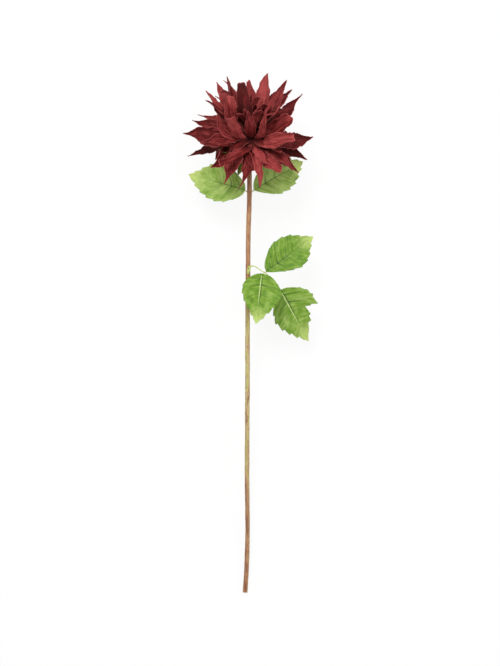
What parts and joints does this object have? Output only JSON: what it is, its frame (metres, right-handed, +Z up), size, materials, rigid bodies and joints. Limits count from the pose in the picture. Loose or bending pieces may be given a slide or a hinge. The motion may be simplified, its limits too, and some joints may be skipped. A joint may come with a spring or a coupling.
{
  "type": "paper flower",
  "caption": "Long-stemmed artificial dahlia of crinkled wine-red paper with green paper leaves, for a vase.",
  "frame": {"origin": "on the ground under the middle of the flower's box, as it lies on its back", "axes": "+Y runs along the stem towards the head, +X to the flower's right as seen from its front, +Z up out of its front"},
  "size_m": [0.1802, 0.6974, 0.14],
  "materials": {
    "petal": "matte",
    "core": "matte",
    "leaf": "matte",
    "wrap": "matte",
    "green_wire": "matte",
    "steel": "satin"
  },
  "bodies": {
    "root": {"stem_wrap": "wrap", "stem_wire": "steel", "flower_core": "core", "calyx": "leaf", "leaf_left": "leaf", "leaf_left_wire": "green_wire", "leaf_right": "leaf", "leaf_right_wire": "green_wire", "twig": "green_wire", "leaflet_upper": "leaf", "leaflet_front": "leaf", "leaflet_lower": "leaf", "petal_skirt_01": "petal", "petal_skirt_02": "petal", "petal_skirt_03": "petal", "petal_skirt_04": "petal", "petal_skirt_05": "petal", "petal_skirt_06": "petal", "petal_skirt_07": "petal", "petal_skirt_08": "petal", "petal_skirt_09": "petal", "petal_skirt_10": "petal", "petal_skirt_11": "petal", "petal_skirt_12": "petal", "petal_skirt_13": "petal", "petal_skirt_14": "petal", "petal_tray_01": "petal", "petal_tray_02": "petal", "petal_tray_03": "petal", "petal_tray_04": "petal", "petal_tray_05": "petal", "petal_tray_06": "petal", "petal_tray_07": "petal", "petal_tray_08": "petal", "petal_tray_09": "petal", "petal_bowl_01": "petal", "petal_bowl_02": "petal", "petal_bowl_03": "petal", "petal_bowl_04": "petal", "petal_bowl_05": "petal", "petal_bowl_06": "petal", "petal_bowl_07": "petal", "petal_bowl_08": "petal", "petal_bowl_09": "petal", "petal_bowl_10": "petal", "petal_bowl_11": "petal", "petal_crown_01": "petal", "petal_crown_02": "petal", "petal_crown_03": "petal", "petal_crown_04": "petal", "petal_crown_05": "petal", "petal_crown_06": "petal", "petal_crown_07": "petal", "petal_heart_01": "petal", "petal_heart_02": "petal", "petal_heart_03": "petal", "petal_heart_04": "petal", "petal_heart_05": "petal", "petal_heart_06": "petal"}
  },
  "joints": []
}
